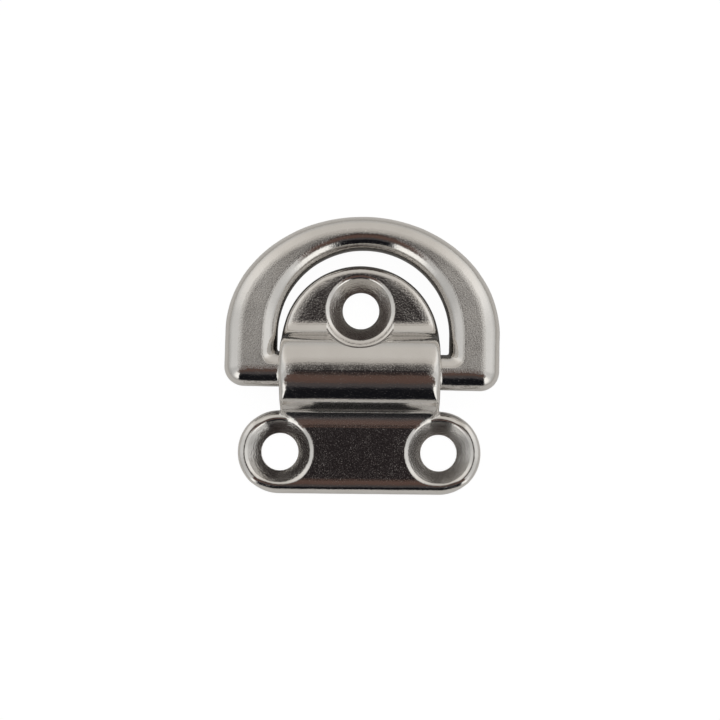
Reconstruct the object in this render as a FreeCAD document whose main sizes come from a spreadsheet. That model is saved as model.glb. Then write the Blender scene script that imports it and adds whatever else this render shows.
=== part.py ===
import FreeCAD, Part
import math
import os
import sys

import Sketcher

V = FreeCAD.Vector

# Folding pad eye, millimetres. The origin is on the underside, midway between the two lower
# screw holes. +X runs along the hinge, +Y points towards the third screw hole and the ring's
# crown, +Z is away from the deck.

doc = FreeCAD.newDocument("folding_pad_eye")

# ---------------------------------------------------------------- driving dimensions
sheet = doc.addObject("Spreadsheet::Sheet", "sizes")
SIZES = [
    # screw holes, for M6 countersunk screws
    ("hole_half_spacing", 14.0, "half the distance between the two lower holes"),
    ("top_hole_y", 25.0, "upper hole above the line of the lower holes"),
    ("screw_hole_r", 3.25, "radius of the through holes"),
    ("sink_depth", 2.5, "depth of the 90 degree countersink"),
    ("sink_rim_r", 5.45, "where the cone ends and the rounded rim starts"),
    ("sink_flat_r", 6.15, "where the rounded rim runs out into the plate"),
    # lower plate
    ("wing_r", 7.37, "end radius of the lower plate"),
    ("lower_top", 3.4, "top of the lower plate"),
    ("lower_edge_round", 2.3, "rounding of the lower plate's upper edge"),
    # strap and upper plate
    ("strap_half", 13.9, "half the width of the strap, and the radius of the upper plate"),
    ("strap_start", 2.0, "where the strap starts inside the lower plate"),
    ("dome_y", 19.0, "centre of the upper plate's round end"),
    ("upper_top", 4.2, "top of the upper plate"),
    ("side_round", 1.55, "rounding of the strap's and upper plate's upper edge"),
    # hump over the bar
    ("hinge_y", 14.25, "hinge axis"),
    ("hinge_z", 3.4, "hinge axis above the deck"),
    ("crest_y", 14.08, "line of the hump's crest"),
    ("crest_z", 10.1, "top of the hump"),
    ("low_back_r", 7.3, "lower side, radius of the back next to the crest"),
    ("low_back_run", 4.885, "how far that arc reaches from the crest"),
    ("low_flank_r", 4.2, "lower side, radius of the next arc"),
    ("low_flank_run", 5.636, "how far that arc reaches from the crest"),
    ("low_wall_r", 14.0, "lower side, radius of the steep part"),
    ("low_root_r", 1.4, "lower side, tight part of the hollow at the foot"),
    ("low_root_rise", 0.835, "height of that part's end over the lower plate"),
    ("low_foot_r", 3.94, "lower side, wide part of the hollow at the foot"),
    ("up_back_r", 6.8, "upper side, radius of the back next to the crest"),
    ("up_back_run", 4.371, "how far that arc reaches from the crest"),
    ("up_wall_r", 5.45, "upper side, radius of the steep part"),
    ("up_root_r", 2.85, "upper side, hollow at the foot"),
    ("channel_r", 3.4, "radius of the bar's channel"),
    # clearance for the upper screw's head, cut into the hump's foot
    ("head_r", 6.95, "radius of the clearance"),
    ("head_round", 0.8, "hollow between its floor and its wall"),
    # ring
    ("ring_thick", 6.2, "thickness of the ring"),
    ("ring_shift", 0.32, "the ring lies this far to +X within its end play"),
    ("ring_skew", 0.8, "and is turned this much clockwise, in degrees, within its play"),
    ("ring_half", 24.08, "half the ring's width"),
    ("ring_rise", 6.65, "centre of the outer half ellipse above the hinge axis"),
    ("ring_crown", 20.65, "height of the half ellipse"),
    ("ring_foot_round", 3.4, "plan radius of the two lower corners"),
    ("eye_r", 15.06, "radius of the opening"),
    ("eye_shift", 0.18, "the opening is this far to +X of the ring's middle"),
    ("eye_rise", 6.25, "centre of the opening's half circle above the hinge axis"),
    ("eye_corner", 0.8, "plan radius of the opening's lower corners"),
    ("ring_outer_round", 3.05, "rounding of the outer edges"),
    ("ring_inner_round", 2.8, "rounding of the opening's edges"),
    ("journal_half", 14.75, "half the length of the round journal"),
]
size = {}
for row, (alias, value, note) in enumerate(SIZES, start=1):
    sheet.set(f"A{row}", alias)
    sheet.set(f"B{row}", repr(value))
    sheet.set(f"C{row}", note)
    sheet.setAlias(f"B{row}", alias)
    size[alias] = value
doc.recompute()


# ---------------------------------------------------------------- helpers
def check_states():
    bad = [o.Name for o in doc.Objects if "Invalid" in o.State or "Error" in o.State]
    if bad:
        sys.exit("objects not computed: " + ", ".join(bad))


def plane(body, role):
    return next(o for o in body.Origin.OriginFeatures if o.Role == role)


def sketch(body, name, role):
    sk = body.newObject("Sketcher::SketchObject", name)
    sk.AttachmentSupport = [(plane(body, role), "")]
    sk.MapMode = "FlatFace"
    return sk


def line(sk, a, b):
    return sk.addGeometry(Part.LineSegment(V(a[0], a[1], 0), V(b[0], b[1], 0)), False)


def arc(sk, centre, radius, start, end):
    circle = Part.Circle(V(centre[0], centre[1], 0), V(0, 0, 1), radius)
    return sk.addGeometry(Part.ArcOfCircle(circle, math.radians(start), math.radians(end)), False)


def bind(sk, constraint, name, expression):
    index = sk.addConstraint(constraint)
    sk.renameConstraint(index, name)
    sk.setExpression("Constraints." + name, expression)
    return index


def join(sk, g1, p1, g2, p2):
    sk.addConstraint(Sketcher.Constraint("Coincident", g1, p1, g2, p2))


def tangent(sk, g1, p1, g2, p2):
    sk.addConstraint(Sketcher.Constraint("Tangent", g1, p1, g2, p2))


def solved(sk):
    result = sk.solve()
    if result != 0:
        sys.exit("sketch %s does not solve: %d" % (sk.Name, result))


def edges_where(shape, test):
    return ["Edge%d" % (i + 1) for i, e in enumerate(shape.Edges) if test(e)]


def samples(edge, count=7):
    first, last = edge.ParameterRange
    return [edge.valueAt(first + (last - first) * k / (count - 1)) for k in range(count)]


S, E, C = 1, 2, 3  # start, end and centre of a sketch element
S_ = size

# ================================================================ pad_base
# ---------------------------------------------------------------- lower plate
# A stadium with both screw holes on its long axis, its upper edge well rounded.
lower = doc.addObject("PartDesign::Body", "lower_plate")
sk = sketch(lower, "lower_outline", "XY_Plane")
c, rw = S_["hole_half_spacing"], S_["wing_r"]
right = arc(sk, (c, 0), rw, -90, 90)
top = line(sk, (c, rw), (-c, rw))
left = arc(sk, (-c, 0), rw, 90, 270)
bottom = line(sk, (-c, -rw), (c, -rw))
tangent(sk, right, E, top, S)
tangent(sk, top, E, left, S)
tangent(sk, left, E, bottom, S)
tangent(sk, bottom, E, right, S)
bind(sk, Sketcher.Constraint("Radius", right, rw), "end_r", "sizes.wing_r")
sk.addConstraint(Sketcher.Constraint("PointOnObject", right, C, -1))
sk.addConstraint(Sketcher.Constraint("PointOnObject", left, C, -1))
bind(sk, Sketcher.Constraint("DistanceX", -1, 1, right, C, c), "right_x", "sizes.hole_half_spacing")
bind(sk, Sketcher.Constraint("DistanceX", left, C, -1, 1, c), "left_x", "sizes.hole_half_spacing")
solved(sk)
pad = lower.newObject("PartDesign::Pad", "lower_pad")
pad.Profile = sk
pad.Length = S_["lower_top"]
pad.setExpression("Length", "sizes.lower_top")
doc.recompute()
fillet = lower.newObject("PartDesign::Fillet", "lower_edge")
fillet.Base = (
    pad,
    edges_where(pad.Shape, lambda e: all(abs(p.z - S_["lower_top"]) < 1e-6 for p in samples(e))),
)
fillet.Radius = S_["lower_edge_round"]
fillet.setExpression("Radius", "sizes.lower_edge_round")
doc.recompute()
check_states()

# ---------------------------------------------------------------- strap, hump and upper plate
# One block with the plan of the strap and its round end, its top then cut to the side profile.
strap = doc.addObject("PartDesign::Body", "strap")
sk = sketch(strap, "strap_outline", "XY_Plane")
w, y0, yd = S_["strap_half"], S_["strap_start"], S_["dome_y"]
foot = line(sk, (-w, y0), (w, y0))
rside = line(sk, (w, y0), (w, yd))
dome = arc(sk, (0, yd), w, 0, 180)
lside = line(sk, (-w, yd), (-w, y0))
join(sk, foot, E, rside, S)
tangent(sk, rside, E, dome, S)
tangent(sk, dome, E, lside, S)
join(sk, lside, E, foot, S)
sk.addConstraint(Sketcher.Constraint("Horizontal", foot))
sk.addConstraint(Sketcher.Constraint("Vertical", rside))
sk.addConstraint(Sketcher.Constraint("Vertical", lside))
sk.addConstraint(Sketcher.Constraint("PointOnObject", dome, C, -2))
bind(sk, Sketcher.Constraint("Radius", dome, w), "half_width", "sizes.strap_half")
bind(sk, Sketcher.Constraint("DistanceY", -1, 1, dome, C, yd), "dome_y", "sizes.dome_y")
bind(sk, Sketcher.Constraint("DistanceY", -1, 1, foot, S, y0), "start_y", "sizes.strap_start")
solved(sk)
block = strap.newObject("PartDesign::Pad", "strap_block")
block.Profile = sk
block.Length = S_["crest_z"] + 3
block.setExpression("Length", "sizes.crest_z + 3")
doc.recompute()

# Side profile in the YZ plane: flat lower plate, hollow foot, round back, hollow foot, flat
# upper plate. Each side is a chain of arcs that run into each other with no corner.
sk = sketch(strap, "side_profile", "YZ_Plane")
hy, cy, zc = S_["hinge_y"], S_["crest_y"], S_["crest_z"]
tl, tu = S_["lower_top"], S_["upper_top"]


def side_of_hump(backs, roots, drop):
    """Arcs from the crest down as (run, height below the crest, radius, slopes at both ends,
    +1 for the back and -1 for a hollow). The slope between them follows from the drop."""
    slopes = [0.0]
    reach = 0.0
    for r, run in backs[:-1]:
        slopes.append(math.asin((run - reach) / r + math.sin(slopes[-1])))
        reach = run
    (r_wall, _), (r_root, rise) = backs[-1], roots[0]
    # slope at the end of each hollow but the last, from its height over the plate
    ends = [0.0]
    for (r, _), (_, up) in zip(reversed(roots[1:]), reversed(roots[:-1])):
        ends.insert(0, math.acos(math.cos(ends[0]) - up / r))
    down = sum(r * (math.cos(b0) - math.cos(b1)) for (r, _), b0, b1 in zip(backs, slopes, slopes[1:]))
    up = sum(r * (math.cos(b1) - math.cos(b0)) for (r, _), b0, b1 in zip(roots[1:], ends, ends[1:]))
    k = down + up + r_wall * math.cos(slopes[-1]) + r_root * math.cos(ends[0]) - drop
    steep = math.acos(k / (r_wall + r_root))
    slopes.append(steep)
    arcs, v, w = [], 0.0, 0.0
    chain = [(1, r, s0, s1) for (r, _), s0, s1 in zip(backs, slopes, slopes[1:])]
    chain += [(-1, r, s0, s1) for (r, _), s0, s1 in zip(roots, [steep] + ends, ends)]
    for kind, r, s0, s1 in chain:
        cv, cw = v - kind * r * math.sin(s0), w - kind * r * math.cos(s0)
        arcs.append((cv, cw, r, s0, s1, kind))
        v, w = cv + kind * r * math.sin(s1), cw + kind * r * math.cos(s1)
    return arcs, v


LOW = (
    ("low_back", "low_back_r", "low_back_run", 1),
    ("low_flank", "low_flank_r", "low_flank_run", 1),
    ("low_wall", "low_wall_r", None, 1),
    ("low_root", "low_root_r", "low_root_rise", -1),
    ("low_foot", "low_foot_r", None, -1),
)
UP = (
    ("up_back", "up_back_r", "up_back_run", 1),
    ("up_wall", "up_wall_r", None, 1),
    ("up_root", "up_root_r", None, -1),
)


def hump_side(rows, sign, level):
    """Draws one side from the crest down. Returns its arcs with their crest-side and foot-side
    ends, and the height's end in Y."""
    lists = {k: [(S_[r], S_[e] if e else None) for _, r, e, kind in rows if kind == k] for k in (1, -1)}
    arcs, reach = side_of_hump(lists[1], lists[-1], zc - level)
    drawn = []
    for (cv, cw, r, s0, s1, kind), (name, alias, end, _) in zip(arcs, rows):
        # angles from +Y, for a side that goes to +Y; mirrored for the other one
        turn = 0.0 if kind == 1 else 180.0
        t0, t1 = 90.0 - math.degrees(s0) + turn, 90.0 - math.degrees(s1) + turn
        if sign < 0:
            t0, t1 = 180.0 - t0, 180.0 - t1
        lo, hi = min(t0, t1), max(t0, t1)
        g = arc(sk, (cy + sign * cv, zc + cw), r, lo, hi)
        bind(sk, Sketcher.Constraint("Radius", g, r), name, "sizes." + alias)
        drawn.append((g, S if t0 == lo else E, E if t0 == lo else S))
    for (g1, _, out), (g2, into, _) in zip(drawn, drawn[1:]):
        tangent(sk, g1, out, g2, into)
    for (g, _, out), (name, _, end, kind) in zip(drawn, rows):
        if end and kind == 1:
            at = sign * S_[end]
            where = "sizes.crest_y %s sizes.%s" % ("+" if sign > 0 else "-", end)
            bind(sk, Sketcher.Constraint("DistanceX", -1, 1, g, out, cy + at), end, where)
        elif end:
            bind(sk, Sketcher.Constraint("DistanceY", -1, 1, g, out, level + S_[end]), end, "sizes.lower_top + sizes." + end)
    return drawn, cy + sign * reach


low, y_low = hump_side(LOW, -1, tl)
upper, y_up = hump_side(UP, 1, tu)
crest_l, crest_u = low[0], upper[0]
tangent(sk, crest_l[0], crest_l[1], crest_u[0], crest_u[1])
bind(sk, Sketcher.Constraint("DistanceX", -1, 1, crest_l[0], crest_l[1], cy), "crest_y", "sizes.crest_y")
bind(sk, Sketcher.Constraint("DistanceY", -1, 1, crest_l[0], crest_l[1], zc), "crest_z", "sizes.crest_z")
sk.addConstraint(Sketcher.Constraint("Vertical", crest_l[0], C, crest_l[0], crest_l[1]))
ytail, ztop = yd + w + 2, zc + 5
flat_l = line(sk, (-2, tl), (y_low, tl))
flat_u = line(sk, (y_up, tu), (ytail, tu))
up = line(sk, (ytail, tu), (ytail, ztop))
over = line(sk, (ytail, ztop), (-2, ztop))
down = line(sk, (-2, ztop), (-2, tl))
tangent(sk, flat_l, E, low[-1][0], low[-1][2])
tangent(sk, upper[-1][0], upper[-1][2], flat_u, S)
join(sk, flat_u, E, up, S)
join(sk, up, E, over, S)
join(sk, over, E, down, S)
join(sk, down, E, flat_l, S)
for g in (flat_l, flat_u, over):
    sk.addConstraint(Sketcher.Constraint("Horizontal", g))
for g in (up, down):
    sk.addConstraint(Sketcher.Constraint("Vertical", g))
bind(sk, Sketcher.Constraint("DistanceY", -1, 1, flat_l, S, tl), "low_z", "sizes.lower_top")
bind(sk, Sketcher.Constraint("DistanceY", -1, 1, flat_u, E, tu), "up_z", "sizes.upper_top")
sk.addConstraint(Sketcher.Constraint("DistanceX", flat_l, S, -1, 1, 2.0))
bind(sk, Sketcher.Constraint("DistanceX", -1, 1, up, S, ytail), "tail_y", "sizes.dome_y + sizes.strap_half + 2")
bind(sk, Sketcher.Constraint("DistanceY", -1, 1, over, S, ztop), "over_z", "sizes.crest_z + 5")
solved(sk)
before = block.Shape.Volume
shaped = strap.newObject("PartDesign::Pocket", "hump")
shaped.Profile = sk
shaped.Midplane = True
shaped.Length = 4 * w
shaped.setExpression("Length", "4 * sizes.strap_half")
doc.recompute()
check_states()
if not shaped.Shape.Volume < before - 1:
    sys.exit("the side profile cuts nothing")


def on_strap_side(p):
    if p.y <= yd:
        return abs(abs(p.x) - w) < 1e-4
    return abs(math.hypot(p.x, p.y - yd) - w) < 1e-4


fillet = strap.newObject("PartDesign::Fillet", "side_edges")
fillet.Base = (
    shaped,
    edges_where(
        shaped.Shape,
        lambda e: all(on_strap_side(p) and p.z > tl - 1e-6 for p in samples(e)),
    ),
)
fillet.Radius = S_["side_round"]
fillet.setExpression("Radius", "sizes.side_round")
doc.recompute()
check_states()

# ---------------------------------------------------------------- one casting
blank = doc.addObject("Part::Fuse", "pad_blank")
blank.Base = lower
blank.Tool = strap
blank.Refine = True
doc.recompute()
check_states()

base = doc.addObject("PartDesign::Body", "pad_base")
base.Label = "pad_base"
base.BaseFeature = blank
doc.recompute()
check_states()
last_volume = base.Shape.Volume


def must_cut(feature):
    """A cut that points away from the solid leaves the volume as it was."""
    global last_volume
    doc.recompute()
    check_states()
    now = feature.Shape.Volume
    if not now < last_volume - 1:
        sys.exit(feature.Name + " cuts nothing")
    last_volume = now


# Channel for the ring's bar, open towards the deck and at both ends.
sk = sketch(base, "channel_section", "YZ_Plane")
rc, hz = S_["channel_r"], S_["hinge_z"]
g1 = line(sk, (hy + rc, -2), (hy + rc, hz))
g2 = arc(sk, (hy, hz), rc, 0, 180)
g3 = line(sk, (hy - rc, hz), (hy - rc, -2))
g4 = line(sk, (hy - rc, -2), (hy + rc, -2))
tangent(sk, g1, E, g2, S)
tangent(sk, g2, E, g3, S)
join(sk, g3, E, g4, S)
join(sk, g4, E, g1, S)
sk.addConstraint(Sketcher.Constraint("Vertical", g1))
sk.addConstraint(Sketcher.Constraint("Vertical", g3))
sk.addConstraint(Sketcher.Constraint("Horizontal", g4))
bind(sk, Sketcher.Constraint("Radius", g2, rc), "channel_r", "sizes.channel_r")
bind(sk, Sketcher.Constraint("DistanceX", -1, 1, g2, C, hy), "axis_y", "sizes.hinge_y")
bind(sk, Sketcher.Constraint("DistanceY", -1, 1, g2, C, hz), "axis_z", "sizes.hinge_z")
sk.addConstraint(Sketcher.Constraint("DistanceY", g4, S, -1, 1, 2.0))
solved(sk)
channel = base.newObject("PartDesign::Pocket", "channel")
channel.Profile = sk
channel.Midplane = True
channel.Length = 4 * w
channel.setExpression("Length", "4 * sizes.strap_half")
must_cut(channel)

# Clearance for the upper screw's head: its floor is flush with the upper plate, so it only
# bites into the hump's foot. Its section is turned about the hole's axis.
sk = sketch(base, "head_section", "YZ_Plane")
sk.AttachmentOffset = FreeCAD.Placement(V(S_["top_hole_y"], 0, 0), FreeCAD.Rotation())
sk.setExpression("AttachmentOffset.Base.x", "sizes.top_hole_y")
hr, ho = S_["head_r"], S_["head_round"]
g1 = line(sk, (0, tu), (hr - ho, tu))
g2 = arc(sk, (hr - ho, tu + ho), ho, -90, 0)
g3 = line(sk, (hr, tu + ho), (hr, zc + 3))
g4 = line(sk, (hr, zc + 3), (0, zc + 3))
g5 = line(sk, (0, zc + 3), (0, tu))
tangent(sk, g1, E, g2, S)
tangent(sk, g2, E, g3, S)
join(sk, g3, E, g4, S)
join(sk, g4, E, g5, S)
join(sk, g5, E, g1, S)
for g in (g1, g4):
    sk.addConstraint(Sketcher.Constraint("Horizontal", g))
for g in (g3, g5):
    sk.addConstraint(Sketcher.Constraint("Vertical", g))
sk.addConstraint(Sketcher.Constraint("PointOnObject", g1, S, -2))
bind(sk, Sketcher.Constraint("Radius", g2, ho), "hollow", "sizes.head_round")
bind(sk, Sketcher.Constraint("DistanceX", -1, 1, g3, E, hr), "wall", "sizes.head_r")
bind(sk, Sketcher.Constraint("DistanceY", -1, 1, g1, S, tu), "floor", "sizes.upper_top")
bind(sk, Sketcher.Constraint("DistanceY", -1, 1, g4, S, zc + 3), "above", "sizes.crest_z + 3")
solved(sk)
head = base.newObject("PartDesign::Groove", "head_clearance")
head.Profile = sk
head.ReferenceAxis = (sk, ["V_Axis"])
head.Angle = 360
must_cut(head)


# Countersunk screw holes: through hole, 90 degree cone, rounded rim.
def sink_sketch(name, role, offset, top_alias):
    top_z = S_[top_alias]
    sk = sketch(base, name, role)
    sk.AttachmentOffset = FreeCAD.Placement(V(S_[offset], 0, 0), FreeCAD.Rotation())
    sk.setExpression("AttachmentOffset.Base.x", "sizes." + offset)
    r0, depth, r1, r2 = S_["screw_hole_r"], S_["sink_depth"], S_["sink_rim_r"], S_["sink_flat_r"]
    rim = (r2 - r1) / math.sin(math.radians(45))
    z1 = top_z - rim * (1 - math.cos(math.radians(45)))
    a = line(sk, (0, -2), (r0, -2))
    b = line(sk, (r0, -2), (r0, z1 - (r1 - r0)))
    cone = line(sk, (r0, z1 - (r1 - r0)), (r1, z1))
    lip = arc(sk, (r2, top_z - rim), rim, 90, 135)
    d = line(sk, (r2, top_z), (r2, top_z + 6))
    e = line(sk, (r2, top_z + 6), (0, top_z + 6))
    f = line(sk, (0, top_z + 6), (0, -2))
    join(sk, a, E, b, S)
    join(sk, b, E, cone, S)
    tangent(sk, cone, E, lip, E)
    join(sk, lip, S, d, S)
    join(sk, d, E, e, S)
    join(sk, e, E, f, S)
    join(sk, f, E, a, S)
    for g in (a, e):
        sk.addConstraint(Sketcher.Constraint("Horizontal", g))
    for g in (b, d, f):
        sk.addConstraint(Sketcher.Constraint("Vertical", g))
    sk.addConstraint(Sketcher.Constraint("PointOnObject", a, S, -2))
    sk.addConstraint(Sketcher.Constraint("DistanceY", a, S, -1, 1, 2.0))
    bind(sk, Sketcher.Constraint("DistanceX", -1, 1, b, S, r0), "hole_r", "sizes.screw_hole_r")
    bind(sk, Sketcher.Constraint("DistanceX", -1, 1, cone, E, r1), "rim_r", "sizes.sink_rim_r")
    bind(sk, Sketcher.Constraint("DistanceX", -1, 1, d, S, r2), "flat_r", "sizes.sink_flat_r")
    bind(sk, Sketcher.Constraint("DistanceY", -1, 1, d, S, top_z), "plate_top", "sizes." + top_alias)
    bind(sk, Sketcher.Constraint("DistanceY", -1, 1, e, E, top_z + 6), "above", "sizes." + top_alias + " + 6")
    # the cone stands at 45 degrees, and the lip's centre is straight below its upper end
    sk.addConstraint(Sketcher.Constraint("Angle", -1, 1, cone, S, math.radians(45)))
    sk.addConstraint(Sketcher.Constraint("Vertical", lip, S, lip, C))
    solved(sk)
    return sk


sk = sink_sketch("lower_sink_section", "XZ_Plane", "hole_half_spacing", "lower_top")
sink = base.newObject("PartDesign::Groove", "lower_sink")
sink.Profile = sk
sink.ReferenceAxis = (sk, ["V_Axis"])
sink.Angle = 360
must_cut(sink)
other = base.newObject("PartDesign::Mirrored", "lower_sinks")
other.Originals = [sink]
other.MirrorPlane = (plane(base, "YZ_Plane"), [""])
base.Tip = other
must_cut(other)

sk = sink_sketch("upper_sink_section", "YZ_Plane", "top_hole_y", "upper_top")
sink = base.newObject("PartDesign::Groove", "upper_sink")
sink.Profile = sk
sink.ReferenceAxis = (sk, ["V_Axis"])
sink.Angle = 360
must_cut(sink)
base.Tip = sink

# ================================================================ d_ring
# Plan outline: straight bar, two legs, half an ellipse over them, and a half round opening.
ring = doc.addObject("PartDesign::Body", "d_ring")
ring.Label = "d_ring"
sk = sketch(ring, "ring_outline", "XY_Plane")
th = S_["ring_thick"]
skew = FreeCAD.Rotation(V(0, 0, 1), -S_["ring_skew"])
sk.AttachmentOffset = FreeCAD.Placement(V(S_["ring_shift"], hy, hz - th / 2), skew)
sk.setExpression("AttachmentOffset.Base.x", "sizes.ring_shift")
sk.setExpression("AttachmentOffset.Base.y", "sizes.hinge_y")
sk.setExpression("AttachmentOffset.Base.z", "sizes.hinge_z - sizes.ring_thick / 2")
a, b, rise, fr = S_["ring_half"], S_["ring_crown"], S_["ring_rise"], S_["ring_foot_round"]
half = th / 2
bottom = line(sk, (-a + fr, -half), (a - fr, -half))
foot_r = arc(sk, (a - fr, -half + fr), fr, -90, 0)
leg_r = line(sk, (a, -half + fr), (a, rise))
ellipse = Part.Ellipse(V(a, rise, 0), V(0, rise + b, 0), V(0, rise, 0))
crown = sk.addGeometry(Part.ArcOfEllipse(ellipse, 0, math.pi), False)
leg_l = line(sk, (-a, rise), (-a, -half + fr))
foot_l = arc(sk, (-a + fr, -half + fr), fr, 180, 270)
sk.exposeInternalGeometry(crown)
tangent(sk, bottom, E, foot_r, S)
tangent(sk, foot_r, E, leg_r, S)
join(sk, leg_r, E, crown, S)
join(sk, crown, E, leg_l, S)
tangent(sk, leg_l, E, foot_l, S)
tangent(sk, foot_l, E, bottom, S)
sk.addConstraint(Sketcher.Constraint("Horizontal", bottom))
sk.addConstraint(Sketcher.Constraint("Vertical", leg_r))
sk.addConstraint(Sketcher.Constraint("Vertical", leg_l))
sk.addConstraint(Sketcher.Constraint("Equal", foot_r, foot_l))
sk.addConstraint(Sketcher.Constraint("PointOnObject", crown, C, -2))
sk.addConstraint(Sketcher.Constraint("Horizontal", crown, S, crown, C))
sk.addConstraint(Sketcher.Constraint("Horizontal", crown, E, crown, C))
er, erise, ec, ex = S_["eye_r"], S_["eye_rise"], S_["eye_corner"], S_["eye_shift"]
i_bot = line(sk, (ex + er - ec, half), (ex - er + ec, half))
i_cl = arc(sk, (ex - er + ec, half + ec), ec, 180, 270)
i_ll = line(sk, (ex - er, half + ec), (ex - er, erise))
i_top = arc(sk, (ex, erise), er, 0, 180)
i_lr = line(sk, (ex + er, erise), (ex + er, half + ec))
i_cr = arc(sk, (ex + er - ec, half + ec), ec, 270, 360)
tangent(sk, i_bot, E, i_cl, E)
tangent(sk, i_cl, S, i_ll, S)
tangent(sk, i_ll, E, i_top, E)
tangent(sk, i_top, S, i_lr, S)
tangent(sk, i_lr, E, i_cr, E)
tangent(sk, i_cr, S, i_bot, S)
sk.addConstraint(Sketcher.Constraint("Horizontal", i_bot))
sk.addConstraint(Sketcher.Constraint("Vertical", i_ll))
sk.addConstraint(Sketcher.Constraint("Vertical", i_lr))
sk.addConstraint(Sketcher.Constraint("Equal", i_cl, i_cr))
bind(sk, Sketcher.Constraint("DistanceX", -1, 1, i_top, C, ex), "eye_x", "sizes.eye_shift")
bind(sk, Sketcher.Constraint("DistanceY", -1, 1, crown, C, rise), "crown_centre", "sizes.ring_rise")
bind(sk, Sketcher.Constraint("DistanceY", bottom, S, -1, 1, half), "bar_low", "sizes.ring_thick / 2")
bind(sk, Sketcher.Constraint("Radius", foot_r, fr), "foot_r", "sizes.ring_foot_round")
bind(sk, Sketcher.Constraint("DistanceY", -1, 1, i_bot, S, half), "bar_up", "sizes.ring_thick / 2")
bind(sk, Sketcher.Constraint("Radius", i_top, er), "eye_r", "sizes.eye_r")
bind(sk, Sketcher.Constraint("DistanceY", -1, 1, i_top, C, erise), "eye_centre", "sizes.eye_rise")
bind(sk, Sketcher.Constraint("Radius", i_cl, ec), "eye_corner", "sizes.eye_corner")
# the ellipse's width and height, on its two axis lines
for index, geo in enumerate(sk.Geometry):
    if isinstance(geo, Part.LineSegment) and sk.getConstruction(index):
        p, q = geo.StartPoint, geo.EndPoint
        if abs(p.x - q.x) < 1e-6:
            bind(sk, Sketcher.Constraint("Distance", index, 2 * b), "crown_height", "2 * sizes.ring_crown")
        else:
            sk.addConstraint(Sketcher.Constraint("Horizontal", index))
            bind(sk, Sketcher.Constraint("Distance", index, 2 * a), "ring_width", "2 * sizes.ring_half")
solved(sk)
plate = ring.newObject("PartDesign::Pad", "ring_plate")
plate.Profile = sk
plate.Length = th
plate.setExpression("Length", "sizes.ring_thick")
doc.recompute()
check_states()

shift = S_["ring_shift"]


def in_opening(e):
    """Whether an edge bounds the opening: near it in plan, and not on the outer outline."""
    near = []
    for p in samples(e):
        q = skew.inverted().multVec(V(p.x - shift, p.y - hy, 0))
        near.append(math.hypot(q.x - ex, max(0.0, q.y - erise)) < er + 0.1 and q.y > half - 1e-6)
    return all(near)


def level(e):
    zs = [p.z for p in samples(e)]
    return max(zs) - min(zs) < 1e-6


outer = ring.newObject("PartDesign::Fillet", "outer_edges")
outer.Base = (plate, edges_where(plate.Shape, lambda e: level(e) and not in_opening(e)))
outer.Radius = S_["ring_outer_round"]
outer.setExpression("Radius", "sizes.ring_outer_round")
doc.recompute()
check_states()
inner = ring.newObject("PartDesign::Fillet", "eye_edges")
inner.Base = (
    outer,
    edges_where(
        outer.Shape,
        lambda e: level(e)
        and in_opening(e)
        and (abs(samples(e)[0].z - (hz - half)) < 1e-6 or abs(samples(e)[0].z - (hz + half)) < 1e-6),
    ),
)
inner.Radius = S_["ring_inner_round"]
inner.setExpression("Radius", "sizes.ring_inner_round")
doc.recompute()
check_states()

# The bar is turned round between the legs, so that it can swing in the channel.
sk = sketch(ring, "journal_section", "XY_Plane")
sk.AttachmentOffset = FreeCAD.Placement(V(shift, hy, hz), skew)
sk.setExpression("AttachmentOffset.Base.x", "sizes.ring_shift")
sk.setExpression("AttachmentOffset.Base.y", "sizes.hinge_y")
sk.setExpression("AttachmentOffset.Base.z", "sizes.hinge_z")
jh = S_["journal_half"]
g1 = line(sk, (-jh, half), (jh, half))
g2 = line(sk, (jh, half), (jh, half + 1.2))
g3 = line(sk, (jh, half + 1.2), (-jh, half + 1.2))
g4 = line(sk, (-jh, half + 1.2), (-jh, half))
for p, q in ((g1, g2), (g2, g3), (g3, g4), (g4, g1)):
    join(sk, p, E, q, S)
for g in (g1, g3):
    sk.addConstraint(Sketcher.Constraint("Horizontal", g))
for g in (g2, g4):
    sk.addConstraint(Sketcher.Constraint("Vertical", g))
bind(sk, Sketcher.Constraint("DistanceY", -1, 1, g1, S, half), "journal_r", "sizes.ring_thick / 2")
sk.addConstraint(Sketcher.Constraint("DistanceY", g2, S, g2, E, 1.2))
bind(sk, Sketcher.Constraint("DistanceX", -1, 1, g1, E, jh), "right_end", "sizes.journal_half")
bind(sk, Sketcher.Constraint("DistanceX", g1, S, -1, 1, jh), "left_end", "sizes.journal_half")
solved(sk)
before = inner.Shape.Volume
journal = ring.newObject("PartDesign::Groove", "journal")
journal.Profile = sk
journal.ReferenceAxis = (sk, ["H_Axis"])
journal.Angle = 360
doc.recompute()
check_states()
if not journal.Shape.Volume < before - 0.5:
    sys.exit("the journal cuts nothing")

# ================================================================ export
check_states()
os.makedirs("parts", exist_ok=True)
for piece in (base, ring):
    shape = piece.Shape
    if shape.isNull() or not shape.isValid() or len(shape.Solids) != 1:
        sys.exit(piece.Label + " is not one valid solid")
    box = shape.BoundBox
    print(
        "%s volume %.1f mm3, x %.2f..%.2f y %.2f..%.2f z %.2f..%.2f"
        % (piece.Label, shape.Volume, box.XMin, box.XMax, box.YMin, box.YMax, box.ZMin, box.ZMax)
    )
    shape.exportStep(os.path.join("parts", piece.Label + ".step"))
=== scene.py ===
import math

import bpy
import numpy as np
from mathutils import Matrix, Vector


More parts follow.
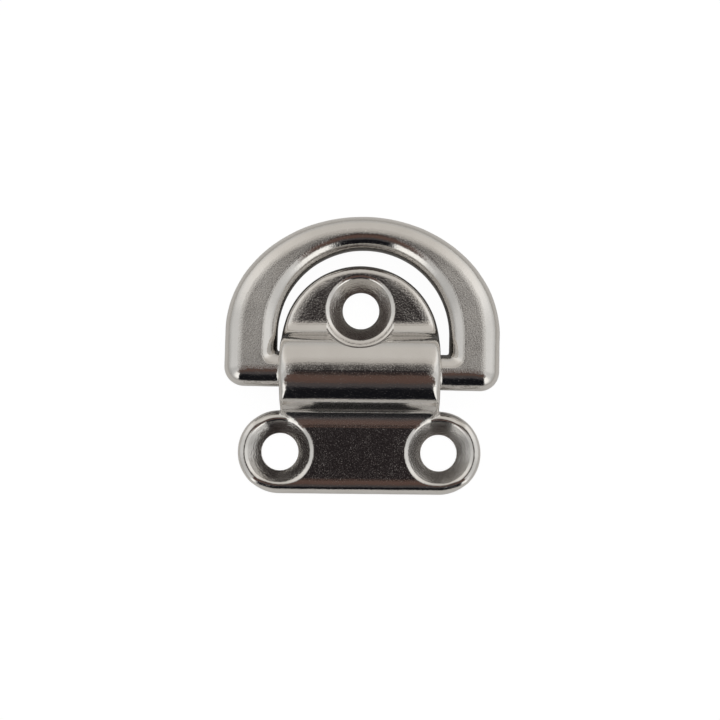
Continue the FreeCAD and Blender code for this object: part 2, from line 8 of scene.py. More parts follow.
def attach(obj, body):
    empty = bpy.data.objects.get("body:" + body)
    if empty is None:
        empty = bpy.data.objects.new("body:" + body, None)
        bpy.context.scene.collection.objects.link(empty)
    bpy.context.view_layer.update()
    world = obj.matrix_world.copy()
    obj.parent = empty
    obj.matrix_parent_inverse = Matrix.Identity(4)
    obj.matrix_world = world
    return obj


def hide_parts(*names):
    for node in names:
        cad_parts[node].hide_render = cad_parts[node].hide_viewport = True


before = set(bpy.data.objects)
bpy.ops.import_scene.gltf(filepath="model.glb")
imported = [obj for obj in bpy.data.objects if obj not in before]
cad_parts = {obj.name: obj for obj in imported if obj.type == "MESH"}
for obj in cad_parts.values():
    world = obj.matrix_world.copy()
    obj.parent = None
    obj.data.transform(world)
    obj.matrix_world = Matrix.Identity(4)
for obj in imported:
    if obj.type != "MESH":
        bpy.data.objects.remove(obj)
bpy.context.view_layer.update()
MM = 0.001

# Sizes in millimetres, those of the part with a slightly finer section in a few places.
HOLE_X, TOP_Y = 14.0, 25.0
SINK_RIM_R, SINK_RIM = 5.74, 0.30
WING_R, LOW_TOP = 7.28, 3.4
# edges from the deck to the wall: arcs (radius, steepest slope)
FRONT_EDGE = ((3.6, 6.0), (4.6, 17.5), (3.6, 23.5), (1.25, 43.0), (2.65, 90.0))
WING_EDGE = ((5.4, 3.2), (1.7, 10.0), (1.21, 90.0))
REAR_EDGE = ((1.8, 90.0),)
HUMP_EDGE = ((20.0, 3.8), (5.0, 10.0), (1.21, 90.0))
DOME_EDGE = ((9.5, 2.7), (32.0, 3.5), (4.4, 10.0), (1.21, 90.0))
STRAP, STRAP_X, START_Y, DOME_Y, UP_TOP, SIDE_ROUND = 13.84, 0.05, 2.0, 19.04, 4.2, 1.55
HY, HZ, CREST_Y, CREST_Z, CHANNEL_R = 14.25, 3.4, 13.8, 10.1, 3.4
# the hump's two sides from its crest down: back arcs (radius, steepest slope), then hollows (radius, least slope)
BACK_LOW, ROOT_LOW = ((1.9, 2.6), (7.245, 42.0), (4.2, 58.0), (14.0, None)), ((1.4, 38.0), (3.6, 20.0), (4.3, 6.0), (9.0, 0.0))
BACK_UP, ROOT_UP = ((1.9, 2.6), (60.0, 3.3), (6.634, 40.0), (5.45, None)), ((2.85, 5.0), (7.0, 0.0))
HEAD_R, HEAD_ROUND = 6.95, 0.8
RING_T, RING_X, RING_SKEW, RING_HALF, RING_RISE, RING_CROWN, RING_FOOT = 6.2, 0.32, 0.8, 24.08, 6.65, 20.65, 3.4
EYE_R, EYE_X, EYE_RISE, EYE_CORNER, OUT_ROUND, IN_ROUND, JOURNAL = 15.06, 0.18, 6.25, 0.8, 3.5, 2.78, 14.2


# ------------------------------------------------------------------ solids as distance functions
def step(a, b, v):
    """0 below a, 1 above b, smooth between."""
    t = np.clip((v - a) / (b - a), 0.0, 1.0)
    return t * t * (3.0 - 2.0 * t)


def both(a, b, r):
    """Intersection with a rounded edge."""
    return np.minimum(-r, np.maximum(a, b)) + np.hypot(np.maximum(r + a, 0), np.maximum(r + b, 0))


def either(a, b, r):
    """Union with a hollow of radius r."""
    return np.maximum(r, np.minimum(a, b)) - np.hypot(np.maximum(r - a, 0), np.maximum(r - b, 0))


def waves(seed, count, longest, shortest, height):
    """A fixed set of plane waves: the slow unevenness that hand polishing leaves on a casting."""
    rng = np.random.default_rng(seed)
    d = rng.normal(size=(count, 3))
    d /= np.linalg.norm(d, axis=1)[:, None]
    k = 2 * np.pi / np.exp(rng.uniform(np.log(shortest), np.log(longest), count))
    phase = rng.uniform(0, 2 * np.pi, count)
    amp = height * (2 * np.pi / k) / longest / math.sqrt(count / 2)

    def f(x, y, z):
        total = np.zeros_like(x)
        for i in range(count):
            total += amp[i] * np.sin(k[i] * (d[i, 0] * x + d[i, 1] * y + d[i, 2] * z) + phase[i])
        return total

    return f


BASE_WAVES = waves(11, 24, 7.0, 2.2, 0.009)
RING_WAVES = waves(23, 24, 8.0, 2.4, 0.012)


def flank(back, roots, drop):
    """One side of the hump's section from the crest down: arcs as (y, z, radius, +1 or -1), and their joints."""
    cos = lambda a: math.cos(math.radians(a))
    sin = lambda a: math.sin(math.radians(a))
    # the steepest slope is the one that makes the arcs come down by the whole drop
    fixed = sum(r * (cos(b0) - cos(b1)) for (r, b1), b0 in zip(back[:-1], (0.0,) + tuple(b for _, b in back)))
    start = back[-2][1] if len(back) > 1 else 0.0
    fixed += back[-1][0] * cos(start) + roots[0][0] * cos(roots[0][1])
    fixed += sum(r * (cos(b1) - cos(b0)) for (_, b0), (r, b1) in zip(roots, roots[1:]))
    steep = math.degrees(math.acos((fixed - drop) / (back[-1][0] + roots[0][0])))
    y, z, slope, arcs, joints = 0.0, CREST_Z, 0.0, [], []
    for kind, r, end in [(1.0, r, b or steep) for r, b in back] + [(-1.0, r, b) for r, b in roots]:
        cy, cz = y - kind * r * sin(slope), z - kind * r * cos(slope)
        arcs.append((cy, cz, r, kind))
        y, z, slope = cy + kind * r * sin(end), cz + kind * r * cos(end), end
        joints.append((y, z, slope))
    return arcs, joints


LOW_SIDE = flank(BACK_LOW, ROOT_LOW, CREST_Z - LOW_TOP)
UP_SIDE = flank(BACK_UP, ROOT_UP, CREST_Z - UP_TOP)


def side_profile(y, z):
    """Distance to the strap's side view: flat, hollow, round back, hollow, flat."""
    result = np.zeros_like(z)
    for side, level, sign in ((LOW_SIDE, LOW_TOP, -1.0), (UP_SIDE, UP_TOP, 1.0)):
        arcs, joints = side
        v = (y - CREST_Y) * sign
        d = np.zeros_like(z)
        top = np.zeros_like(z)
        for i, (cy, cz, r, kind) in enumerate(arcs):
            here = np.ones(z.shape, bool)
            if i:
                jy, jz, js = joints[i - 1]
                js = math.radians(js)
                here = (v - jy) * math.cos(js) - (z - jz) * math.sin(js) > 0
            d = np.where(here, kind * (np.hypot(v - cy, z - cz) - r), d)
            over = np.ones(z.shape, bool) if i == 0 else v > joints[i - 1][0]
            top = np.where(over, cz + kind * np.sqrt(np.maximum(r * r - (v - cy) ** 2, 0)), top)
        end = joints[-1][0]
        d = np.where(v > end, z - level, d)
        rise = z - np.where(v > end, level, top)
        d = np.sign(rise) * np.clip(np.abs(d), 0.3 * np.abs(rise), np.abs(rise))
        result = np.where(v >= 0, d, result)
    return result


def rounded(out, above, chain):
    """Distance to a body whose deck turns into its wall over a chain of arcs.

    out is the distance past the wall and above the distance over the deck."""
    y, z, slope, sectors = 0.0, 0.0, 0.0, []
    for r, end in chain:
        s0, s1 = math.radians(slope), math.radians(end)
        cy, cz = y - r * math.sin(s0), z - r * math.cos(s0)
        sectors.append((y, z, s0, cy, cz, r))
        y, z, slope = cy + r * math.sin(s1), cz + r * math.cos(s1), end
    v = out + y
    d, top = above, np.zeros_like(above)
    for jy, jz, js, cy, cz, r in sectors:
        here = (v - jy) * math.cos(js) - (above - jz) * math.sin(js) > 0
        d = np.where(here, np.hypot(v - cy, above - cz) - r, d)
        top = np.where(v > jy, cz + np.sqrt(np.maximum(r * r - (v - cy) ** 2, 0)), top)
    rise = above - top
    d = np.where(d * rise < 0, 0.3 * rise, d)
    beyond = np.where(above > z, np.hypot(np.maximum(v - cy, 0), above - z) - r, out)
    return np.where((out > 0) | (above < z), beyond, d)


def sink(x, y, z, cx, cy, top, hole_r, off, tan, draft):
    """Screw hole with its 90 degree cone, open upwards."""
    rho = np.hypot(x - cx, y - cy)
    cone = (rho - (SINK_RIM_R + (z - top) * tan)) / math.hypot(1.0, tan)
    cone = np.maximum(cone, z - (top + 0.6))
    return np.minimum(np.hypot(x - cx - off, y - cy) - hole_r - draft * np.maximum(1.8 - z, 0), cone)


def base_solid(x, y, z):
    across, along = np.maximum(np.abs(x) - HOLE_X, 0), np.where(y < 0, 0.9977 * y, y)
    length = np.hypot(across, along)
    wall = length - WING_R
    ahead = step(0.70, 1.0, -along / np.maximum(length, 1e-6))
    plate = rounded(wall, z - LOW_TOP, WING_EDGE)
    plate = plate + (rounded(wall, z - LOW_TOP, FRONT_EDGE) - plate) * ahead
    behind = step(0.70, 0.90, along / np.maximum(length, 1e-6))
    plate = plate + (rounded(wall, z - LOW_TOP, REAR_EDGE) - plate) * behind
    sx = x - STRAP_X
    plan = np.where(y > DOME_Y, np.hypot(sx, y - DOME_Y) - STRAP, np.abs(sx) - STRAP)
    plan = np.maximum(plan, START_Y - y)
    side = side_profile(y, z)
    strap = both(plan, side, SIDE_ROUND - 0.85 * step(11.5, 8.0, y) + 1.8 * step(7.1, 5.6, y))
    crown = step(0.86, 0.965, (y - DOME_Y) / np.maximum(np.hypot(x, y - DOME_Y), 1e-6)) * step(19.0, 20.0, y)
    worn = rounded(plan, side, HUMP_EDGE)
    worn = worn + (rounded(plan, side, DOME_EDGE) - worn) * step(17.0, 20.5, y)
    strap = strap + (worn - strap) * step(9.0, 11.5, y) * (1 - crown)
    r = 0.4 * step(12.6, 13.9, np.abs(x)) * step(4.6, 7.2, y)
    f = either(plate, strap, r)
    # clearance of the upper screw's head in the hump's foot
    rho = np.hypot(x, y - TOP_Y)
    head = both(rho - HEAD_R, (UP_TOP + 0.001) - z, HEAD_ROUND)
    r = 0.42 * step(0.5, 1.5, z - UP_TOP)
    f = both(f, -head, r)
    for cx, cy, top, hole_r, off, tan, draft in (
        (-HOLE_X, 0.0, LOW_TOP, 3.28, 0.0, 1.005, 0.0),
        (HOLE_X, 0.0, LOW_TOP, 3.20, 0.0, 1.01, 0.0),
        (0.0, TOP_Y, UP_TOP, 3.22, 0.10, 1.01, 0.12),
    ):
        f = both(f, -sink(x, y, z, cx, cy, top, hole_r, off, tan, draft), SINK_RIM)
    # channel of the ring's bar, open downwards
    channel = np.where(z > HZ, np.hypot(y - HY, z - HZ), np.abs(y - HY)) - CHANNEL_R
    f = both(f, -channel, 0.3)
    f = f + BASE_WAVES(x, y, z) * step(0.4, 1.4, z)
    return both(f, -z, 0.25)


def ring_solid(wx, wy, wz):
    c, n = math.cos(math.radians(RING_SKEW)), math.sin(math.radians(RING_SKEW))
    x, y, z = (wx - RING_X) * c - (wy - HY) * n, (wx - RING_X) * n + (wy - HY) * c, wz - HZ
    half = RING_T / 2
    # outside, as an inward distance: half ellipse, legs, foot corners
    ye = np.maximum(y - RING_RISE, 0)
    k = np.hypot(x / RING_HALF, ye / RING_CROWN)
    g = np.hypot(x / RING_HALF**2, ye / RING_CROWN**2)
    top = np.where(k > 1e-6, k * (k - 1) / np.maximum(g, 1e-9), -RING_CROWN)
    foot = -half - y
    qx, qy = np.abs(x) - (RING_HALF - RING_FOOT), foot + RING_FOOT
    low = np.minimum(np.maximum(qx, qy), 0) + np.hypot(np.maximum(qx, 0), np.maximum(qy, 0)) - RING_FOOT
    s_out = -np.where(y > RING_RISE, top, np.maximum(low, np.abs(x) - RING_HALF))
    # opening: half circle over straight sides with small corners
    ox, oy = np.abs(x - EYE_X) - (EYE_R - EYE_CORNER), (half - y) + EYE_CORNER
    wide = np.maximum(np.maximum(ox, oy), 1e-6)
    box = wide * ((np.maximum(ox, 0) / wide) ** 4 + (np.maximum(oy, 0) / wide) ** 4) ** 0.25
    box = np.where((ox > 0) | (oy > 0), box, np.maximum(ox, oy)) - EYE_CORNER
    s_in = np.where(y > EYE_RISE, np.hypot(x - EYE_X, y - EYE_RISE) - EYE_R, box)
    a_out = OUT_ROUND + 0.5 * step(2.5, -1.5, y) * step(21.5, 19.0, np.abs(x))
    u = np.maximum(0, 1 - s_out / a_out)
    v = np.maximum(0, 1 - s_in / IN_ROUND)
    body = (np.sqrt(u * u + v * v + (z / half) ** 2) - 1) * half * 0.8
    bar = np.hypot(y, z) - half
    f = np.where(y < 4.0, bar + (body - bar) * step(JOURNAL - 0.5, JOURNAL + 0.1, np.abs(wx)), body)
    return f + RING_WAVES(wx, wy, wz)


# ------------------------------------------------------------------ mesh of a solid
def gradient(f, p, e=2e-3):
    g = np.empty_like(p)
    for a in range(3):
        q = p.copy()
        q[:, a] += e
        hi = f(*q.T)
        q[:, a] -= 2 * e
        g[:, a] = (hi - f(*q.T)) / (2 * e)
    return g


def net(f, lo, hi, h):
    """Quads of f = 0 over a regular grid, each corner then moved onto the surface."""
    lo, hi = np.array(lo, float), np.array(hi, float)
    n = np.ceil((hi - lo) / h).astype(int) + 1
    ax = [lo[i] + h * np.arange(n[i]) for i in range(3)]
    v = f(*np.meshgrid(*ax, indexing="ij"))
    inside = v < 0
    c = [slice(None, -1), slice(1, None)]
    count = sum(inside[c[i], c[j], c[k]].astype(np.int8) for i in (0, 1) for j in (0, 1) for k in (0, 1))
    active = (count > 0) & (count < 8)
    index = np.full(active.shape, -1, np.int64)
    cells = np.argwhere(active)
    index[active] = np.arange(len(cells))
    total, hits = np.zeros((len(cells), 3)), np.zeros(len(cells))
    i, j, k = cells.T
    for a in range(3):
        b, d = (a + 1) % 3, (a + 2) % 3
        for db in (0, 1):
            for dd in (0, 1):
                s = cells.copy()
                s[:, b] += db
                s[:, d] += dd
                t = s.copy()
                t[:, a] += 1
                v0, v1 = v[tuple(s.T)], v[tuple(t.T)]
                cross = (v0 < 0) != (v1 < 0)
                w = np.where(cross, v0 / np.where(cross, v0 - v1, 1), 0)
                p = np.zeros((len(cells), 3))
                p[:, a], p[:, b], p[:, d] = w, db, dd
                total += p * cross[:, None]
                hits += cross
    points = lo + h * (cells + total / hits[:, None])
    quads = []
    for a in range(3):
        b, d = (a + 1) % 3, (a + 2) % 3
        s = [slice(None)] * 3
        t = [slice(None)] * 3
        s[a], t[a] = slice(None, -1), slice(1, None)
        change = inside[tuple(s)] != inside[tuple(t)]
        e = np.argwhere(change)
        e = e[(e[:, b] > 0) & (e[:, d] > 0) & (e[:, b] < n[b] - 1) & (e[:, d] < n[d] - 1)]
        goes_out = inside[tuple(e.T)]
        ring = []
        for db, dd in ((-1, -1), (0, -1), (0, 0), (-1, 0)):
            q = e.copy()
            q[:, b] += db
            q[:, d] += dd
            ring.append(index[tuple(q.T)])
        ring = np.stack(ring, 1)
        ring[~goes_out] = ring[~goes_out][:, ::-1]
        quads.append(ring)
    quads = np.concatenate(quads)
    for _ in range(4):
        g = gradient(f, points)
        val = f(*points.T)
        move = (val / np.maximum((g * g).sum(1), 1e-6))[:, None] * g
        long = np.linalg.norm(move, axis=1)
        move *= np.minimum(1, 0.4 * h / np.maximum(long, 1e-9))[:, None]
        points = points - move
    g = gradient(f, points)
    normals = g / np.maximum(np.linalg.norm(g, axis=1), 1e-9)[:, None]
    return points, quads, normals


def piece(name, points, quads, normals, marks):
    mesh = bpy.data.meshes.new(name)
    mesh.vertices.add(len(points))
    mesh.vertices.foreach_set("co", (points * MM).ravel())
    mesh.loops.add(len(quads) * 4)
    mesh.loops.foreach_set("vertex_index", quads.ravel())
    mesh.polygons.add(len(quads))
    mesh.polygons.foreach_set("loop_start", np.arange(len(quads)) * 4)
    mesh.polygons.foreach_set("use_smooth", np.ones(len(quads), bool))
    mesh.update(calc_edges=True)
    mesh.validate()
    for key, values in marks.items():
        layer = mesh.attributes.new(key, "FLOAT", "POINT")
        layer.data.foreach_set("value", values.astype(np.float32))
    mesh.normals_split_custom_set_from_vertices(normals.tolist())
    obj = bpy.data.objects.new(name, mesh)
    bpy.context.scene.collection.objects.link(obj)
    return obj


GRID = 0.203

p, q, n = net(base_solid, (-21.93, -7.93, -0.57), (21.93, 33.4, 10.7), GRID)
x, y, z = p.T
up = n[:, 2]
rho = np.minimum.reduce([np.hypot(np.abs(x) - HOLE_X, y), np.hypot(x, y - TOP_Y)])
flat = step(0.985, 0.998, up)
land = flat * step(5.8, 6.3, rho)
cut = step(6.0, 5.6, rho) * step(0.2, 0.5, z)
hollow = step(8.9, 8.5, y) * step(3.8, 5.4, y) * step(13.2, 12.2, np.abs(x)) * step(3.35, 3.45, z)
coarse = step(0.965, 0.992, up) * step(5.9, 6.4, rho) * step(16.5, 18.0, y)
base = piece("base_casting", p, q, n, {"rough_land": land, "turned": cut, "as_cast": hollow, "coarse": coarse})

p, q, n = net(ring_solid, (-24.3, 10.33, -0.47), (25.2, 42.1, 6.9), GRID)
x, y, z = p.T
outward = n[:, 0] * x + n[:, 1] * (y - HY - EYE_RISE) > 0
land = np.where(outward, step(0.945, 0.992, n[:, 2]), step(0.984, 0.998, n[:, 2]))
ring = piece("ring_casting", p, q, n, {"rough_land": land, "turned": 0 * x, "as_cast": 0 * x})


# ------------------------------------------------------------------ materials
class Graph:
    def __init__(self, tree):
        self.tree, self.nodes, self.links = tree, tree.nodes, tree.links
        self.nodes.clear()

    def add(self, kind, settings=None, **inputs):
        node = self.nodes.new(kind)
        for k, v in (settings or {}).items():
            setattr(node, k, v)
        for k, v in inputs.items():
            self.set(node, k.replace("_", " "), v)
        return node

    def set(self, node, key, v):
        socket = node.inputs[key]
        if isinstance(v, bpy.types.NodeSocket):
            self.links.new(v, socket)
        else:
            socket.default_value = v

    def math(self, op, a, b=None, c=None, clamp=False):
        node = self.nodes.new("ShaderNodeMath")
        node.operation, node.use_clamp = op, clamp
        for i, v in enumerate((a, b, c)):
            if v is not None:
                self.set(node, i, v)
        return node.outputs[0]

    def ramp(self, v, lo, hi, to_lo=0.0, to_hi=1.0, smooth=True):
        node = self.nodes.new("ShaderNodeMapRange")
        node.interpolation_type = "SMOOTHSTEP" if smooth else "LINEAR"
        for k, val in (("Value", v), ("From Min", lo), ("From Max", hi), ("To Min", to_lo), ("To Max", to_hi)):
            self.set(node, k, val)
        return node.outputs["Result"]

    def mix(self, fac, a, b):
        node = self.nodes.new("ShaderNodeMix")
        node.data_type = "RGBA"
        self.set(node, 0, fac)
        self.set(node, 6, a)
        self.set(node, 7, b)
        return node.outputs[2]

    def blend(self, fac, a, b):
        node = self.nodes.new("ShaderNodeMix")
        node.data_type = "FLOAT"
        self.set(node, 0, fac)
        self.set(node, 2, a)
        self.set(node, 3, b)
        return node.outputs[0]

    def noise(self, where, scale, detail=2.0, rough=0.5):
        node = self.add("ShaderNodeTexNoise", {"noise_dimensions": "3D"})
        for k, v in (("Vector", where), ("Scale", scale), ("Detail", detail), ("Roughness", rough)):
            self.set(node, k, v)
        return node.outputs[0]


def steel(name, grain_scale, grain_height, land_rough, turned):
    mat = bpy.data.materials.new(name)
    mat.use_nodes = True
    g = Graph(mat.node_tree)
    out = g.add("ShaderNodeOutputMaterial")
    shader = g.add("ShaderNodeBsdfPrincipled")
    shader.inputs["Metallic"].default_value = 1.0
    g.links.new(shader.outputs[0], out.inputs[0])
    where = g.add("ShaderNodeTexCoord").outputs["Object"]
    land = g.add("ShaderNodeAttribute", {"attribute_name": "rough_land"}).outputs["Fac"]
    # the edge of the unpolished land wanders
    wander = g.noise(where, 900.0, 3.0)
    land = g.ramp(g.math("ADD", land, g.math("MULTIPLY", g.math("SUBTRACT", wander, 0.5), 0.9)), 0.35, 0.75)
    broad = g.noise(where, 260.0, 3.0)
    fine = g.noise(where, 3400.0, 1.0, 0.5)
    pits = g.noise(where, 5200.0, 1.0, 0.5)
    grain = g.noise(where, grain_scale, 2.0, 0.6)
    tone = g.mix(broad, (0.61, 0.59, 0.565, 1), (0.68, 0.665, 0.645, 1))
    tone = g.mix(g.math("MULTIPLY", land, 0.3), tone, (0.54, 0.525, 0.505, 1))
    if turned:
        mottle = g.mix(g.ramp(pits, 0.36, 0.64), (0.40, 0.385, 0.37, 1), (0.74, 0.72, 0.70, 1))
        tone = g.mix(g.math("MULTIPLY", land, 0.8), tone, mottle)
    g.set(shader, "Base Color", tone)
    dots = g.noise(where, 7200.0, 1.0, 0.5)
    specks = g.math("MULTIPLY", g.ramp(dots, 0.60, 0.76), g.ramp(broad, 0.38, 0.62, 0.45, 1.45)) if turned else grain
    split = g.add("ShaderNodeSeparateXYZ", Vector=where)
    if turned:
        # the upper plate is left coarser than the lower one
        coarse = g.add("ShaderNodeAttribute", {"attribute_name": "coarse"}).outputs["Fac"]
        coarse = g.ramp(g.math("ADD", coarse, g.math("MULTIPLY", g.math("SUBTRACT", grain, 0.5), 1.2)), 0.3, 0.7)
    rough = g.ramp(g.noise(where, 420.0, 4.0), 0.3, 0.75, 0.05, 0.10)
    rough = g.blend(land, rough, g.ramp(grain, 0.35, 0.65, land_rough[0], land_rough[1]))
    if not turned:
        specks = g.math("MULTIPLY", specks, g.ramp(split.outputs[1], 0.030, 0.036, 1.0, 0.62))
        rough = g.math("MULTIPLY", rough, g.ramp(split.outputs[1], 0.030, 0.036, 1.0, 0.75))
    if turned:
        crowd = g.ramp(split.outputs[1], 0.0285, 0.0225, 0.006, 0.016)
        rough = g.blend(coarse, rough, 0.055)
    bumps = g.add("ShaderNodeBump")
    # tiny dull spots on the polish
    spots = g.math("MULTIPLY", g.ramp(pits, 0.54, 0.72), g.blend(land, 0.155, 0.06))
    rough = g.math("ADD", rough, spots)
    height = g.math("MULTIPLY", fine, g.blend(land, 0.013, 0.0055))
    if turned:
        height = g.math("ADD", height, g.math("MULTIPLY", g.math("MULTIPLY", fine, crowd), coarse))
    height = g.math("ADD", height, g.math("MULTIPLY", g.ramp(pits, 0.60, 0.76), 0.003))
    height = g.math("ADD", height, g.math("MULTIPLY", land, g.math("MULTIPLY", specks, grain_height)))
    if turned:
        cut = g.add("ShaderNodeAttribute", {"attribute_name": "turned"}).outputs["Fac"]
        ax = g.math("SUBTRACT", g.math("ABSOLUTE", split.outputs[0]), HOLE_X * MM)
        low = g.math("SQRT", g.math("ADD", g.math("MULTIPLY", ax, ax), g.math("MULTIPLY", split.outputs[1], split.outputs[1])))
        ty = g.math("SUBTRACT", split.outputs[1], TOP_Y * MM)
        top = g.math("SQRT", g.math("ADD", g.math("MULTIPLY", split.outputs[0], split.outputs[0]), g.math("MULTIPLY", ty, ty)))
        dist = g.math("MINIMUM", low, top)
        line = g.noise(g.add("ShaderNodeCombineXYZ", X=dist, Y=g.math("MULTIPLY", split.outputs[0], 0.02), Z=g.math("MULTIPLY", split.outputs[1], 0.02)).outputs[0], 6000.0, 2.0, 0.7)
        height = g.math("ADD", height, g.math("MULTIPLY", g.math("MULTIPLY", line, cut), 0.006))
        # short marks that run down the cone
        turn_x = g.math("DIVIDE", g.blend(g.math("LESS_THAN", low, top), split.outputs[0], ax), dist)
        turn_y = g.math("DIVIDE", g.blend(g.math("LESS_THAN", low, top), ty, split.outputs[1]), dist)
        marks = g.noise(g.add("ShaderNodeCombineXYZ", X=turn_x, Y=turn_y, Z=g.math("MULTIPLY", dist, 260.0)).outputs[0], 9.0, 3.0, 0.65)
        height = g.math("ADD", height, g.math("MULTIPLY", g.math("MULTIPLY", marks, cut), 0.010))
        height = g.math("ADD", height, g.math("MULTIPLY", g.math("MULTIPLY", grain, cut), 0.003))
        # the three cones were not cut with the same care
        rough = g.blend(g.math("MULTIPLY", cut, 0.9), rough, g.ramp(split.outputs[0], -0.012, 0.012, 0.075, 0.195, False))
        skin = g.add("ShaderNodeAttribute", {"attribute_name": "as_cast"}).outputs["Fac"]
        rough = g.blend(skin, rough, 0.19)
        height = g.math("ADD", height, g.math("MULTIPLY", g.math("MULTIPLY", grain, skin), 0.010))
    g.set(shader, "Roughness", rough)
    g.set(bumps, "Strength", 1.0)
    g.set(bumps, "Distance", MM)
    g.set(bumps, "Height", height)
    g.links.new(bumps.outputs[0], shader.inputs["Normal"])
    return mat


base.data.materials.append(steel("base_steel_polished", 4800.0, 0.0021, (0.04, 0.08), True))
ring.data.materials.append(steel("ring_steel_polished", 4600.0, 0.034, (0.22, 0.32), False))

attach(base, "base")
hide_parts("pad_base")
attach(ring, "ring")
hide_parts("d_ring")


# ------------------------------------------------------------------ stage
def floor_material():
    mat = bpy.data.materials.new("floor_white")
    mat.use_nodes = True
    g = Graph(mat.node_tree)
    out = g.add("ShaderNodeOutputMaterial")
    path = g.add("ShaderNodeLightPath")
    seen = g.add("ShaderNodeEmission", Color=(1, 1, 1, 1), Strength=0.96)
    paper = g.add("ShaderNodeBsdfDiffuse", Color=(0.08, 0.08, 0.08, 1))
    front = g.add("ShaderNodeAddShader")
    g.links.new(seen.outputs[0], front.inputs[0])
    g.links.new(paper.outputs[0], front.inputs[1])
    glow = g.add("ShaderNodeEmission", Color=(1.0, 0.99, 0.98, 1), Strength=0.05)
    place = g.add("ShaderNodeTexCoord").outputs["Object"]
    away = g.add("ShaderNodeVectorMath", {"operation": "LENGTH"})
    g.links.new(place, away.inputs[0])
    # painted light: for reflected rays the sheet is painted brighter near the part and darker further out
    painted_light_and_shade_tint = g.mix(g.ramp(away.outputs["Value"], 0.032, 0.060), (0.87, 0.865, 0.855, 1), (0.66, 0.65, 0.63, 1))
    # painted shade: the strip of sheet inside the ring is painted dark, as if it lay in the ring's shade
    shade_distance = g.add("ShaderNodeVectorMath", {"operation": "DISTANCE"})
    g.links.new(place, shade_distance.inputs[0])
    shade_distance.inputs[1].default_value = (0.0, 0.0075, 0.0)
    painted_light_and_shade_tint = g.mix(g.ramp(shade_distance.outputs["Value"], 0.0165, 0.0190), (0.30, 0.295, 0.29, 1), painted_light_and_shade_tint)
    sheet = g.add("ShaderNodeBsdfDiffuse", Color=painted_light_and_shade_tint)
    other = g.add("ShaderNodeAddShader")
    g.links.new(glow.outputs[0], other.inputs[0])
    g.links.new(sheet.outputs[0], other.inputs[1])
    pick = g.add("ShaderNodeMixShader")
    g.links.new(path.outputs["Is Camera Ray"], pick.inputs[0])
    g.links.new(other.outputs[0], pick.inputs[1])
    g.links.new(front.outputs[0], pick.inputs[2])
    g.links.new(pick.outputs[0], out.inputs[0])
    return mat


bpy.ops.mesh.primitive_grid_add(x_subdivisions=8, y_subdivisions=8, size=3.0, location=(0.0, 0.012, -0.00002))
floor = bpy.context.object
floor.name = "floor_sheet"
floor.data.materials.append(floor_material())

world = bpy.data.worlds.new("studio_surround")
bpy.context.scene.world = world
world.use_nodes = True
g = Graph(world.node_tree)
out = g.add("ShaderNodeOutputWorld")
way = g.add("ShaderNodeTexCoord").outputs["Generated"]
s = g.add("ShaderNodeSeparateXYZ", Vector=way)
dx, dy, dz = s.outputs
polar = g.math("MULTIPLY", g.math("ARCCOSINE", dz), 180 / math.pi)
flat_len = g.math("SQRT", g.math("ADD", g.math("MULTIPLY", dx, dx), g.math("MULTIPLY", dy, dy)))
toward = g.math("DIVIDE", dy, g.math("MAXIMUM", flat_len, 1e-4))  # 1 towards +Y, -1 towards -Y

across = g.math("DIVIDE", dx, g.math("MAXIMUM", flat_len, 1e-4))


def bands(stops):
    """Colours by angle from straight up, in degrees."""
    node = g.add("ShaderNodeValToRGB")
    g.set(node, "Fac", g.math("DIVIDE", polar, 100.0))
    marks = node.color_ramp.elements
    marks[0].position, marks[0].color = stops[0][0] / 100.0, (*stops[0][1], 1)
    marks[1].position, marks[1].color = stops[-1][0] / 100.0, (*stops[-1][1], 1)
    for at, colour in stops[1:-1]:
        marks.new(at / 100.0).color = (*colour, 1)
    return node.outputs[0]


# towards +Y: a dim patch overhead, a long soft rise, warm grey light
rear = bands([
    (0.0, (0.031, 0.0255, 0.0265)),
    (3.0, (0.034, 0.028, 0.029)),
    (8.4, (0.042, 0.036, 0.036)),
    (9.5, (0.125, 0.116, 0.112)),
    (10.8, (0.150, 0.140, 0.134)),
    (12.7, (0.21, 0.20, 0.19)),
    (15.3, (0.37, 0.35, 0.33)),
    (17.8, (0.475, 0.45, 0.42)),
    (23.0, (0.585, 0.555, 0.52)),
    (28.0, (0.64, 0.61, 0.57)),
    (39.0, (0.75, 0.72, 0.68)),
    (70.0, (0.75, 0.72, 0.68)),
    (84.0, (0.66, 0.65, 0.63)),
    (92.0, (0.60, 0.59, 0.57)),
])
# to both sides: neutral, brighter on the right
flanks = bands([
    (0.0, (0.031, 0.0255, 0.0265)),
    (5.5, (0.040, 0.034, 0.035)),
    (10.0, (0.26, 0.25, 0.24)),
    (18.0, (0.86, 0.85, 0.83)),
    (30.0, (1.0, 1.0, 0.99)),
    (66.0, (1.0, 1.0, 0.99)),
    (82.0, (0.80, 0.80, 0.79)),
    (92.0, (0.68, 0.68, 0.67)),
])
strength = g.ramp(across, -0.8, 0.8, 0.84, 1.0)
level = g.add("ShaderNodeVectorMath", {"operation": "SCALE"})
g.links.new(flanks, level.inputs[0])
g.links.new(strength, level.inputs["Scale"])
side = g.ramp(toward, 0.95, 0.25)
light = g.mix(side, rear, level.outputs[0])
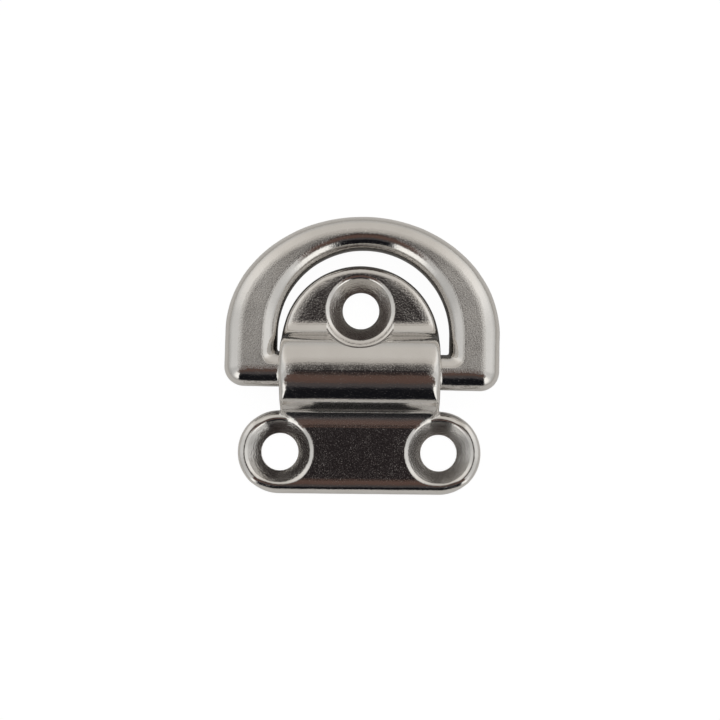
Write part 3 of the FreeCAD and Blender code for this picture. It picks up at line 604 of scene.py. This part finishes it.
# the lamps stand at the corners: more light from the diagonals, less from below the middle
turn = g.add("ShaderNodeValToRGB", Fac=g.math("MULTIPLY_ADD", toward, 0.5, 0.5))
marks = turn.color_ramp.elements
marks[0].position, marks[0].color = 0.10, (0.575, 0.575, 0.575, 1)
marks[1].position, marks[1].color = 1.00, (0.50, 0.50, 0.50, 1)
for at, value in ((-0.62, 0.95), (-0.46, 0.80), (-0.25, 0.80), (0.0, 0.99), (0.26, 0.95), (0.5, 1.28), (0.68, 1.38), (0.85, 1.18), (0.96, 1.03)):
    marks.new(at * 0.5 + 0.5).color = (value / 2, value / 2, value / 2, 1)
gain = g.blend(g.ramp(polar, 12.0, 26.0), 1.0, g.math("MULTIPLY", turn.outputs[0], 2.0))
lamps = g.add("ShaderNodeVectorMath", {"operation": "SCALE"})
g.links.new(light, lamps.inputs[0])
g.links.new(gain, lamps.inputs["Scale"])
light = lamps.outputs[0]
# towards -Y: a brown sector, then black with a bright window on each side of it
front = bands([
    (0.0, (0.031, 0.0255, 0.0265)),
    (2.0, (0.035, 0.029, 0.030)),
    (5.0, (0.045, 0.035, 0.035)),
    (10.0, (0.075, 0.052, 0.045)),
    (14.0, (0.125, 0.080, 0.066)),
    (26.0, (0.135, 0.083, 0.069)),
    (33.0, (0.115, 0.075, 0.063)),
    (37.0, (0.085, 0.073, 0.072)),
    (45.0, (0.078, 0.070, 0.072)),
    (49.0, (0.020, 0.020, 0.024)),
    (54.0, (0.009, 0.0092, 0.0115)),
    (80.0, (0.0087, 0.009, 0.0112)),
    (85.0, (0.03, 0.03, 0.032)),
    (89.0, (0.43, 0.41, 0.385)),
])
window = bands([
    (0.0, (0.031, 0.0255, 0.0265)),
    (2.0, (0.035, 0.029, 0.030)),
    (5.0, (0.045, 0.035, 0.035)),
    (10.0, (0.075, 0.052, 0.045)),
    (14.0, (0.125, 0.080, 0.066)),
    (26.0, (0.135, 0.083, 0.069)),
    (35.0, (0.12, 0.083, 0.071)),
    (42.0, (0.30, 0.27, 0.25)),
    (50.0, (1.42, 1.41, 1.37)),
    (74.0, (1.42, 1.41, 1.37)),
    (84.0, (0.75, 0.75, 0.74)),
    (92.0, (0.62, 0.62, 0.61)),
])
front = g.mix(g.ramp(toward, -0.955, -0.895), front, window)
sky = g.mix(g.ramp(toward, -0.56, -0.80), light, front)
path = g.add("ShaderNodeLightPath")
sky = g.mix(path.outputs["Is Camera Ray"], sky, (1.0, 1.0, 1.0, 1))
back = g.add("ShaderNodeBackground", Color=sky, Strength=1.0)
g.links.new(back.outputs[0], out.inputs[0])
world.cycles.sampling_method = "MANUAL"
world.cycles.sample_map_resolution = 512

# ------------------------------------------------------------------ camera
cam_data = bpy.data.cameras.new("camera")
cam_data.sensor_fit = "HORIZONTAL"
cam_data.sensor_width = 36.0
cam_data.lens = 36.0 * 1181.5 / 720.0
cam_data.clip_start, cam_data.clip_end = 0.01, 10.0
cam = bpy.data.objects.new("camera", cam_data)
cam.location = (0.00238, -0.00074, 0.210)
cam.rotation_euler = tuple(math.radians(v) for v in (4.680, 0.606, 0.568))
bpy.context.scene.collection.objects.link(cam)
bpy.context.scene.camera = cam
bpy.context.scene.view_settings.view_transform = "Standard"
